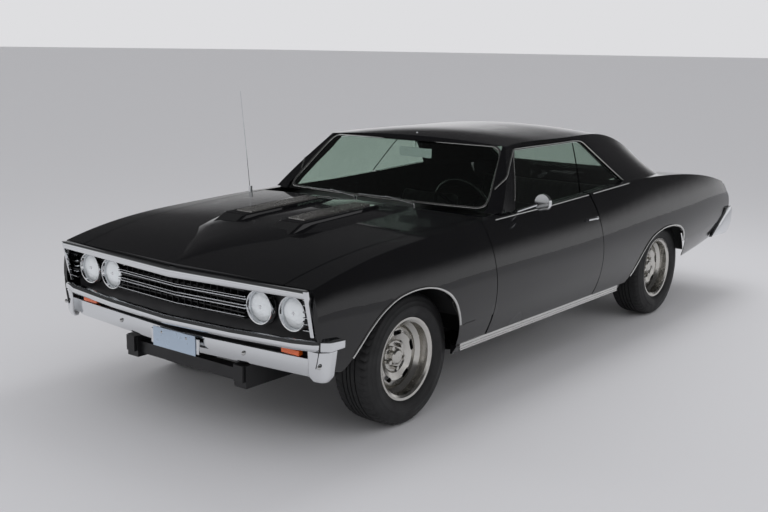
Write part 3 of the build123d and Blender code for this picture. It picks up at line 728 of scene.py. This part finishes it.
# %% Lofts
def loft(name, rows, material, body, bevel=0.0):
    """rows: closed outlines of equal count, as (x, y, z) body points in mm."""
    verts = [at(*p) for row in rows for p in row]
    faces, count = [], len(rows[0])
    for i in range(len(rows) - 1):
        for k in range(count):
            m = (k + 1) % count
            faces.append((i * count + k, i * count + m, (i + 1) * count + m, (i + 1) * count + k))
    faces.append(tuple(range(count))[::-1])
    faces.append(tuple(range((len(rows) - 1) * count, len(rows) * count)))
    made = piece(name, verts, faces, material, body)
    if bevel:
        rounding = made.modifiers.new("rounding", "BEVEL")
        rounding.width = bevel * MM
        rounding.segments = 3
        rounding.limit_method = "ANGLE"
        rounding.angle_limit = math.radians(35)
    return made


def across(name, rows, material, bevel=0.0):
    """A bar right across the car from rows of its left half, the first at the centre line."""
    return loft(name, [handed(r, -1) for r in rows[:0:-1]] + rows, material, "body", bevel)


def bar_row(x, y, z0, z1, depth, nose):
    """A bar's section with a domed face: y is its foremost line."""
    third = (z1 - z0) * 0.3
    lower = [(x, y + depth, z0), (x, y + nose, z0), (x, y, z0 + third)]
    upper = [(x, y, z1 - third), (x, y + nose, z1), (x, y + depth, z1)]
    return lower + upper


# %% Header and nose mouldings
HEADER = [bar_row(0, -790, 752, 800, 30, 7), bar_row(852, -769, 776, 813, 30, 7)]
NOSE_TOP = [(850, -772, 812), (868, -766, 812), (868, -752, 812), (850, -754, 812)]
NOSE_FOOT = [(852, -726, 600), (870, -721, 600), (870, -708, 600), (852, -710, 600)]
across("header_moulding", HEADER, chrome, 2)
for side_name, side in SIDES:
    rows = [handed(NOSE_TOP, side), handed(NOSE_FOOT, side)]
    loft(f"nose_moulding_{side_name}", rows, chrome, "body", 2)
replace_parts(bpy.data.objects["header_moulding"], "front_mouldings")

# %% Grille bars and fins
BAR_HEIGHTS = [624, 662, 676, 704, 716]
for k, z in enumerate(BAR_HEIGHTS):
    rows = [bar_row(0, -740, z - 8, z - 3, 26, 2), bar_row(452, -728, z, z + 5, 26, 2)]
    across(f"grille_bar_{k}", rows, chrome)
SHORT_HEIGHTS = [622, 650, 678, 706, 734, 756]
for side_name, side in SIDES:
    for k, z in enumerate(SHORT_HEIGHTS):
        rows = [bar_row(side * x, y, z, z + 5, 24, 2) for x, y in ((806, -722), (848, -716))]
        loft(f"outer_bar_{side_name}_{k}", rows, chrome, "body")
FIN_PITCH, FIN_HALF, FINS_A_SIDE, FIN_SWEEP = 44, 1.5, 9, 1.4
for k in range(-FINS_A_SIDE, FINS_A_SIDE + 1):
    y = -726 + abs(k) * FIN_SWEEP
    rows = [bar_row(k * FIN_PITCH + x, y, 604, 750, 50, 1) for x in (-FIN_HALF, FIN_HALF)]
    loft(f"grille_fin_{k + FINS_A_SIDE}", rows, satin_black, "body")

# %% [markdown]
# ## Headlamps
#
# Each lamp is a sealed unit: a domed glass lens in a chrome ring. Both are turned forms,
# so a profile spun about the lamp's axis makes them.

# %% Headlamps
LAMP_ROWS = [
    # name, x, y, z
    ("outer", 722, -686, 680),
    ("inner", 529, -697, 680),
]
FORWARD = (0, -1, 0)
LENS_R = 69.0
RING_PROFILE = [(-14, 82), (12, 82), (17, 79), (16, 75), (8, 72), (2, 69), (-14, 69), (-14, 82)]
DOME = [(14 * math.cos(math.pi * k / 16), LENS_R * math.sin(math.pi * k / 16)) for k in range(9)]
LENS_PROFILE = [(-6 + a, r) for a, r in DOME] + [(-14, LENS_R)]
CAP_PROFILE = [(9, 0), (9, 7), (6, 10)]
lenses = []
for name, x, y, z in LAMP_ROWS:
    for side_name, side in SIDES:
        centre, lamp = at(side * x, y, z), f"{name}_{side_name}"
        turned(f"lamp_ring_{lamp}", centre, FORWARD, RING_PROFILE, chrome, "body", 48)
        lenses.append(
            turned(f"lamp_lens_{lamp}", centre, FORWARD, LENS_PROFILE, lamp_glass, "body", 40)
        )
        turned(f"lamp_cap_{lamp}", centre, FORWARD, CAP_PROFILE, chrome, "body", 20)
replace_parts(lenses[0], "headlamps")

# %% [markdown]
# ## Front bumper
#
# A pressed steel blade, plated with chrome, stands over a second pressing that leans back
# below it. Cast corner pieces close the ends. The signal lamps sit in the slot between.

# %% Blade and valance
BLADE = [
    # x, y, z low, z high
    (0, -816, 524, 570), (430, -800, 532, 578), (780, -768, 540, 588), (880, -742, 542, 592), (934, -700, 543, 592),
]
VALANCE = [
    # x, y, z low, z high
    (0, -742, 388, 480), (800, -706, 406, 496), (846, -700, 408, 498),
]
blade = across("bumper_blade", [bar_row(x, y, z0, z1, 40, 14) for x, y, z0, z1 in BLADE], chrome, 5)
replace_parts(blade, "front_bumper")


def valance_row(x, y, z0, z1):
    face = [(x, y, z1), (x, y - 3, z1 - 40), (x, y + 22, z0)]
    back = [(x, y + 40, z0), (x, y + 18, z1 - 36), (x, y + 18, z1)]
    return face + back


across("bumper_valance", [valance_row(*row) for row in VALANCE], chrome, 2)

# %% Bumper ends, signal lamps and bolts
CORNER = [
    [(842, -738, 548), (900, -728, 548), (940, -692, 548), (940, -640, 548), (842, -680, 548)],
    [(842, -732, 430), (898, -720, 430), (930, -690, 430), (930, -650, 430), (842, -684, 430)],
    [(856, -712, 398), (894, -704, 398), (910, -688, 398), (910, -664, 398), (856, -684, 398)],
]
WRAP = [
    [(905, -724, 545), (944, -692, 545), (944, -692, 591), (905, -724, 591)],
    [(918, -604, 548), (950, -604, 548), (950, -604, 586), (918, -604, 586)],
]
BOLTS = [(441, -728, 452), (-441, -728, 452), (905, -728, 478), (-905, -728, 478)]
BOLT_HEAD = [(7, 0), (6.5, 4), (4, 8), (0, 10), (-3, 10)]
SIGNAL_X = (664, 772)
for side_name, side in SIDES:
    corner, wrap = [[handed(row, side) for row in rows] for rows in (CORNER, WRAP)]
    loft(f"bumper_corner_{side_name}", corner, chrome, "body", 8)
    loft(f"bumper_wrap_{side_name}", wrap, chrome, "body", 5)
    near, far = sorted(side * x for x in SIGNAL_X)
    low, high = at(near, -712, 499), at(far, -684, 523)
    signal = block(f"signal_{side_name}", low, high, amber, "body", 3)
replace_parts(signal, "signal_lamps")
for k, place in enumerate(BOLTS):
    turned(f"bumper_bolt_{k}", at(*place), FORWARD, BOLT_HEAD, stainless, "body", 20)

# %% [markdown]
# ## Number plate
#
# A plate is thin pressed sheet with a baked enamel, on a bracket, held by two screws at the
# standard pitch. It is left blank here. Boxes with rounded edges are enough for both.

# %% Number plate, blank
plate_blue, tree, shader = new_material(
    "plate_enamel", Base_Color=colour("#A9B8C8"), Roughness=0.3, Metallic=0.2
)
vary(tree, shader, "Roughness", 0.25, 0.4, 40)
PLATE_HALF, BRACKET_HALF, HOLE_HALF = 152, 172, 88.9
SCREW_HEAD = [(3, 0), (2.5, 4), (0, 7), (-1, 7)]
block("plate_bracket", at(-BRACKET_HALF, -756, 396), at(BRACKET_HALF, -748, 470), chrome, "body", 2)
low, high = at(-PLATE_HALF, -761, 386), at(PLATE_HALF, -757, 484)
block("front_plate", low, high, plate_blue, "body", 1.5)
for k, x in enumerate((-HOLE_HALF, HOLE_HALF)):
    turned(f"plate_screw_{k}", at(x, -761, 462), FORWARD, SCREW_HEAD, stainless, "body", 16)

# %% [markdown]
# ## The hood
#
# A raised middle widens from the nose to the cowl. On it stand two pods, each with an opening
# in front and a ribbed insert on top. The opening is not cut: a thin dark matt slab on the
# pod's sloping front stands for it, as painted shade for its hollow. The insert is cast and
# plated; it is given the softer shine of turned aluminium, because a clean mirror shows only the dark ceiling.

# %% Raised middle
hood_skin = Skin("hood")


def hood_z(y):
    place, _ = hood_skin.top(0, min(max(y, -735), 640))
    return place.z / MM + DROP


BULGE = [
    # y, half-width of the flat top, half-width at the foot, rise
    (-742, 6, 20, -1), (-560, 60, 170, 12), (-330, 190, 350, 18), (-60, 300, 430, 20), (380, 330, 440, 16),
    (636, 340, 420, 2),
]
rows = []
for y, top, foot, rise in BULGE:
    z = hood_z(y)
    outline = [(-foot, -14), (-top, rise), (0, rise + 1.5), (top, rise), (foot, -14)]
    rows.append([(x, y, z + lift) for x, lift in outline])
loft("hood_raised_middle", rows, paint, "hood", 10)

# %% Pods and inserts
POD_IN, POD_OUT = 112.0, 292.0
POD = [(-262, -6), (-150, 40), (430, 34), (560, 4)]
# The dark slab that paints the shade of the opening: y and rise above the hood, in mm.
SHADED_MOUTH = [(-246, 4), (-160, 37)]
INSERT_X, INSERT_HALF = 188.0, 56.0
INSERT_FROM, INSERT_TO = -100.0, 425.0
RIB_COUNT = 8


def pod_z(y):
    return hood_z(y) + along(POD, y)


ribs = [(-INSERT_HALF, -2)]
for k in range(RIB_COUNT):
    left = -INSERT_HALF + 2 * INSERT_HALF * k / RIB_COUNT
    width = 2 * INSERT_HALF / RIB_COUNT
    ribs += [(left + share * width, high) for share, high in ((0.1, 1), (0.3, 5), (0.7, 5), (0.9, 1))]
ribs.append((INSERT_HALF, -2))
for side_name, side in SIDES:
    rows = []
    for y, _ in POD:
        z, low = pod_z(y), hood_z(y) - 20
        outline = [(POD_IN, low), (POD_IN + 10, z), (POD_OUT - 10, z), (POD_OUT, low)]
        rows.append([(side * x, y, h) for x, h in outline])
    loft(f"hood_pod_{side_name}", rows, paint, "hood", 6)
    # The mouth is a matt dark slab on the pod's sloping front: painted shade where the opening's hollow would be.
    shaded_mouth = []
    for y, rise in SHADED_MOUTH:
        z = hood_z(y) + rise
        outline = [(POD_IN + 20, z - 8), (POD_IN + 20, z + 1), (POD_OUT - 20, z + 1), (POD_OUT - 20, z - 8)]
        shaded_mouth.append([(side * x, y - 4, h) for x, h in outline])
    loft(f"hood_mouth_painted_shade_{side_name}", shaded_mouth, undercoat, "hood")
    path = [at(side * INSERT_X, y, pod_z(y)) for y in (INSERT_FROM, 80, 260, INSERT_TO)]
    sweep(f"hood_insert_{side_name}", path, [Vector((0, 0, 1))] * 4, ribs, aluminium, "hood")

# %% [markdown]
# ## Rear bumper
#
# The blade is one chrome pressing. It turns round the corners and ends in a wedge along the
# flank. A loft whose rows follow its plan keeps the section upright all the way round.

# %% Rear bumper
REAR_PLAN = [
    # outer x, y, inner x, y, z low, z high
    (0, 4174, 0, 4148, 498, 655), (600, 4160, 590, 4134, 494, 655), (850, 4125, 836, 4100, 482, 657),
    (926, 4072, 902, 4060, 464, 658), (938, 4010, 912, 4006, 455, 656), (932, 3944, 906, 3944, 451, 654),
    (914, 3850, 890, 3850, 449, 546), (902, 3760, 878, 3760, 445, 458),
]
# How far each point of the face stands out, and its share of the height.
REAR_FACE = [(0, 0.88), (0, 0.4), (-14, 0.1), (-22, 0)]
rows = []
for xo, yo, xi, yi, low, high in REAR_PLAN:
    out, tall = Vector((xo - xi, yo - yi)).normalized(), high - low
    row = [(xi, yi, high), (xo - 9 * out.x, yo - 9 * out.y, high)]
    row += [(xo + d * out.x, yo + d * out.y, low + h * tall) for d, h in REAR_FACE]
    rows.append(row + [(xi, yi, low)])
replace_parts(across("rear_blade", rows, chrome, 3), "rear_bumper")

# %% [markdown]
# ## Tyres
#
# Each tyre is a ring with four tread grooves, slots across the shoulders, a scuff rib and
# fine lines on the side wall. There is no lettering. A bump map could draw the tread, but
# it goes flat at the edge of the tyre, where modelled grooves break the outline.

# %% Tyres
TYRE_HALF = [
    # across, radius, kind
    (0, 335, "rib"), (7, 335, "rib"), (8, 328, "low"), (14, 328, "low"), (15, 335, "rib"), (34, 334.4, "rib"),
    (35, 327.4, "low"), (41, 327, "low"), (42, 334, "rib"), (60, 333, "block"), (72, 331.8, "block"),
    (84, 330, "block"), (92, 325, "block"), (99, 316, "side"), (101, 315, "side"), (103, 312, "side"),
    (106, 304, "side"), (109, 292, "side"), (110.5, 290, "side"), (111, 287, "side"), (113.4, 268, "side"),
    (115, 266, "side"), (115, 252, "side"), (113, 249, "side"), (111.6, 238, "side"), (104, 222, "side"),
    (98, 214, "side"), (95, 212, "side"), (90, 203, "side"), (84, 194, "side"),
]
SEGMENTS, SLOT_EVERY = 216, 4
SLOT_DEPTH, SIPE_DEPTH, SLOT_SKEW, PLAIN_RIB = 5, 2.5, 0.02, 14
TREAD_R = TYRE_HALF[0][1]
profile = [(-x, r, kind) for x, r, kind in TYRE_HALF[:0:-1]] + TYRE_HALF
for name in ("front_left", "front_right", "rear_left", "rear_right"):
    hub = middle(f"tyre_{name}")
    verts, faces, count = [], [], len(profile)
    for k in range(SEGMENTS):
        for x, r, kind in profile:
            turn = 2 * math.pi * (k + SLOT_SKEW * x * (1 if kind == "block" else 0)) / SEGMENTS
            slot = kind == "block" and k % SLOT_EVERY == 0
            sipe = kind == "rib" and k % (2 * SLOT_EVERY) == 2 and abs(x) > PLAIN_RIB
            radius = (r - (SLOT_DEPTH if slot else SIPE_DEPTH if sipe else 0)) * TYRE_R / TREAD_R
            verts.append(hub + Vector((x * MM, radius * math.cos(turn), radius * math.sin(turn))))
    for k in range(SEGMENTS):
        m = (k + 1) % SEGMENTS
        for i in range(count - 1):
            faces.append((k * count + i, k * count + i + 1, m * count + i + 1, m * count + i))
    tyre = piece(f"tyre_tread_{name}", verts, faces, rubber, f"wheel_{name}")
    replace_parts(tyre, f"tyre_{name}")

# %% [markdown]
# ## Buckets and bench
#
# Two buckets and a bench in black vinyl. Each pad is a rounded closed form, puffed with
# cloth pressure, so its faces swell as foam does under a cover. Sewn channels are pressed
# into the middle of each pad last, so that neither the remeshing nor the pressure smooths
# them away. The cells are coarse, which keeps the pads light.

# %% Pads
PAD_CELL = 0.014
PUFF_LIMIT = 0.014
PUFF_FRAMES = 20
CHANNEL_PITCH, CHANNEL_DEPTH = 0.052, 0.006


def evaluated(item):
    graph = bpy.context.evaluated_depsgraph_get()
    return bpy.data.meshes.new_from_object(item.evaluated_get(graph))


def pad(name, size, place, lean, face, channel_half):
    """A pad of this size at place, leaned back. face is the local axis that carries the channels."""
    stand = Matrix.Translation(place) @ Matrix.Rotation(-math.radians(lean), 4, "X")
    shape = bmesh.new()
    bmesh.ops.create_cube(shape, size=1.0)
    bmesh.ops.scale(shape, vec=size, verts=shape.verts)
    rounding = min(size) * 0.3
    bmesh.ops.bevel(shape, geom=shape.edges[:], offset=rounding, segments=5, profile=0.6, affect="EDGES")
    mesh = bpy.data.meshes.new(name + "_form")
    shape.to_mesh(mesh)
    shape.free()
    form = bpy.data.objects.new(name + "_form", mesh)
    bpy.context.collection.objects.link(form)
    cells = form.modifiers.new("cells", "REMESH")
    cells.mode = "VOXEL"
    cells.voxel_size = PAD_CELL
    form.data = evaluated(form)
    form.modifiers.clear()
    rest = [v.co.copy() for v in form.data.vertices]
    cloth = form.modifiers.new("puff", "CLOTH")
    cloth.settings.use_pressure = True
    cloth.settings.uniform_pressure_force = 4
    cloth.settings.effector_weights.gravity = 0
    for number in range(1, PUFF_FRAMES + 1):
        bpy.context.scene.frame_set(number)
    form.data = evaluated(form)
    form.modifiers.clear()
    bpy.context.scene.frame_set(1)
    for vert, start in zip(form.data.vertices, rest):
        move = vert.co - start
        if move.length > PUFF_LIMIT:
            vert.co = start + move.normalized() * PUFF_LIMIT
    towards, other = (1, 1) if face == 2 else (-1, 2)
    for vert in form.data.vertices:
        on_face = vert.co[face] * towards > size[face] * 0.3 and abs(vert.co.x) < channel_half
        if on_face and abs(vert.co[other]) < size[other] * 0.4:
            groove = abs(math.cos(math.pi * vert.co.x / CHANNEL_PITCH)) ** 6
            vert.co[face] -= CHANNEL_DEPTH * groove * towards
    form.data.transform(stand)
    verts = [v.co.copy() for v in form.data.vertices]
    faces = [tuple(p.vertices) for p in form.data.polygons]
    made = piece(name, verts, faces, vinyl, "body")
    bpy.data.objects.remove(form)
    smoothing = made.modifiers.new("fine", "SUBSURF")
    smoothing.levels = smoothing.render_levels = 1
    return made


BACK_THICK = 0.12


def seat(name, x, width, cushion_y, cushion_z, back_foot, back_tall, lean, channel_half):
    """A cushion and a leaning back: width and channel_half in metres, lean in degrees, the rest in mm."""
    y0, y1, z0, z1 = *cushion_y, *cushion_z
    size = (width - 0.02, (y1 - y0) * MM - 0.02, (z1 - z0) * MM - 0.012)
    cushion = pad(f"{name}_cushion", size, at(x, (y0 + y1) / 2, (z0 + z1) / 2), 0, 2, channel_half)
    tilt, half, thick = math.radians(lean), back_tall * MM / 2, BACK_THICK
    behind = half * math.sin(tilt) + thick / 2 * math.cos(tilt)
    above = half * math.cos(tilt) - thick / 2 * math.sin(tilt)
    centre = at(x, *back_foot) + Vector((0, behind, above))
    size = (width - 0.03, thick - 0.012, back_tall * MM - 0.02)
    pad(f"{name}_back", size, centre, lean, 1, channel_half)
    return cushion


BUCKET = (0.48, (1270, 1770), (336.3, 526.3), (1720, 486.3), 420, 16, 0.16)
BENCH = (1.11, (2190, 2690), (504.3, 694.3), (2640, 654.3), 300, 24, 0.45)
BUCKET_X = 400
driver = seat("driver_seat", BUCKET_X, *BUCKET)
seat("passenger_seat", -BUCKET_X, *BUCKET)
seat("bench_seat", 0, *BENCH)
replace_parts(driver, "seats")

# %% [markdown]
# ## Inside the wheel arches
#
# Sheet-metal wheelhouses arch over the wheels, and aprons stand ahead of the front ones.
# Without them one looks through the car. They stand in the shade, so plain sheets in
# undercoat are enough. Their radii leave room for the wheels to turn.

# %% Wheelhouses
WHEELHOUSES = [
    # name, axle y, radius, x inner, x outer, first and last angle
    ("front", 0, 425, 560, 862, 20, 158),
    ("rear", WHEELBASE, 382, 610, 862, 12, 168),
]
HOUSE_STEPS, HOUSE_THICK = 36, 2
for end, axle_y, radius, inner, outer, first, last in WHEELHOUSES:
    for side_name, side in SIDES:
        verts = []
        for k in range(HOUSE_STEPS + 1):
            turn = math.radians(first + (last - first) * k / HOUSE_STEPS)
            y = axle_y + radius * math.cos(turn)
            z = AXLE_ABOVE_DATUM + radius * math.sin(turn)
            verts += [at(side * x, y, z) for x in (inner, outer)]
        faces = [(2 * k, 2 * k + 1, 2 * k + 3, 2 * k + 2) for k in range(HOUSE_STEPS)]
        house = piece(f"{end}_wheelhouse_{side_name}", verts, faces, undercoat, "body")
        wall = house.modifiers.new("thickness", "SOLIDIFY")
        wall.thickness = HOUSE_THICK * MM

# %% Front aprons
APRON_X, APRON_THICK = 560, 3
APRON = [(-648, 448), (-400, 448), (-330, 520), (-300, 530), (-300, 700), (-648, 700)]
for side_name, side in SIDES:
    verts = [at(side * x, y, z) for x in (APRON_X, APRON_X + APRON_THICK) for y, z in APRON]
    count = len(APRON)
    faces = [tuple(range(count)), tuple(range(2 * count - 1, count - 1, -1))]
    faces += [(k, (k + 1) % count, count + (k + 1) % count, count + k) for k in range(count)]
    piece(f"front_apron_{side_name}", verts, faces, undercoat, "body")

# %% [markdown]
# ## The studio
#
# A wide pale floor meets a pale horizon. Gloss black shows mostly what stands round it, so
# the room darkens overhead, while matt surfaces get a level light of their own. The soft
# boxes add light and shade on the floor and the matt parts. They are hidden from mirror
# reflections and from glass, where their hard edges would look like flaws in the paint.

# %% Floor
FLOOR_COLOUR = "#BDBDBF"
WALL_COLOUR = "#DEDEE0"
FLOOR_HALF = 400.0

floor_paint, tree, shader = new_material("floor_paint", Base_Color=colour(FLOOR_COLOUR), Roughness=0.6)
floor_mesh = bpy.data.meshes.new("floor_plane")
corners = [(-1, -1), (1, -1), (1, 1), (-1, 1)]
floor_mesh.from_pydata([(x * FLOOR_HALF, y * FLOOR_HALF, 0) for x, y in corners], [], [(0, 1, 2, 3)])
floor_mesh.materials.append(floor_paint)
floor = bpy.data.objects.new("studio_floor", floor_mesh)
bpy.context.collection.objects.link(floor)
print("floor", 2 * FLOOR_HALF, "m wide")

# %% Room light
WALL_TOP = math.sin(math.radians(4))
DARK_FROM = math.sin(math.radians(15))
CEILING_LIGHT = 0.06
DIFFUSE_LIGHT = 1.4

world = bpy.data.worlds.new("studio")
bpy.context.scene.world = world
world.use_nodes = True
tree = world.node_tree
backdrop = tree.nodes["Background"]
backdrop.inputs["Color"].default_value = colour(WALL_COLOUR)
direction = add(tree, "ShaderNodeTexCoord")
split = add(tree, "ShaderNodeSeparateXYZ", {0: direction.outputs["Generated"]})
room = add(
    tree,
    "ShaderNodeMapRange",
    {
        "Value": split.outputs["Z"],
        "From Min": WALL_TOP,
        "From Max": DARK_FROM,
        "To Min": 1.0,
        "To Max": CEILING_LIGHT,
    },
    interpolation_type="SMOOTHSTEP",
)
ray = add(tree, "ShaderNodeLightPath").outputs
mirrored = {0: ray["Is Camera Ray"], 1: ray["Is Glossy Ray"]}
seen = add(tree, "ShaderNodeMath", mirrored, operation="MAXIMUM")
through = {0: seen.outputs[0], 1: ray["Is Transmission Ray"]}
seen = add(tree, "ShaderNodeMath", through, operation="MAXIMUM")
levels = {"Factor": seen.outputs[0], "A": DIFFUSE_LIGHT, "B": room.outputs[0]}
level = add(tree, "ShaderNodeMix", levels, data_type="FLOAT")
tree.links.new(level.outputs[0], backdrop.inputs["Strength"])
print("room light", DIFFUSE_LIGHT, "on matt surfaces,", CEILING_LIGHT, "overhead in mirrors")

# %% Soft boxes
SOFT_BOXES = [
    # name, place, aimed at, width, height, watts
    ("over_car", (0.0, 1.8, 4.4), (0.0, 0.4, 0.0), 1.6, 4.0, 75),
    ("beside_left", (6.5, 1.5, 3.4), (0.6, 0.2, 0.6), 6.0, 1.6, 60),
    ("front_right", (-4.5, -6.0, 3.2), (0.0, -1.8, 0.5), 2.4, 0.9, 45),
]
for name, place, aim, width, height, watts in SOFT_BOXES:
    light = bpy.data.lights.new(name, "AREA")
    light.shape = "RECTANGLE"
    light.size = width
    light.size_y = height
    light.energy = watts
    lamp = bpy.data.objects.new(name, light)
    lamp.visible_glossy = False
    lamp.visible_transmission = False
    turn = (Vector(aim) - Vector(place)).to_track_quat("-Z", "Y").to_matrix().to_4x4()
    lamp.matrix_world = Matrix.Translation(place) @ turn
    bpy.context.collection.objects.link(lamp)
    print("soft box", name, watts, "W")

bpy.context.scene.view_settings.view_transform = "Standard"
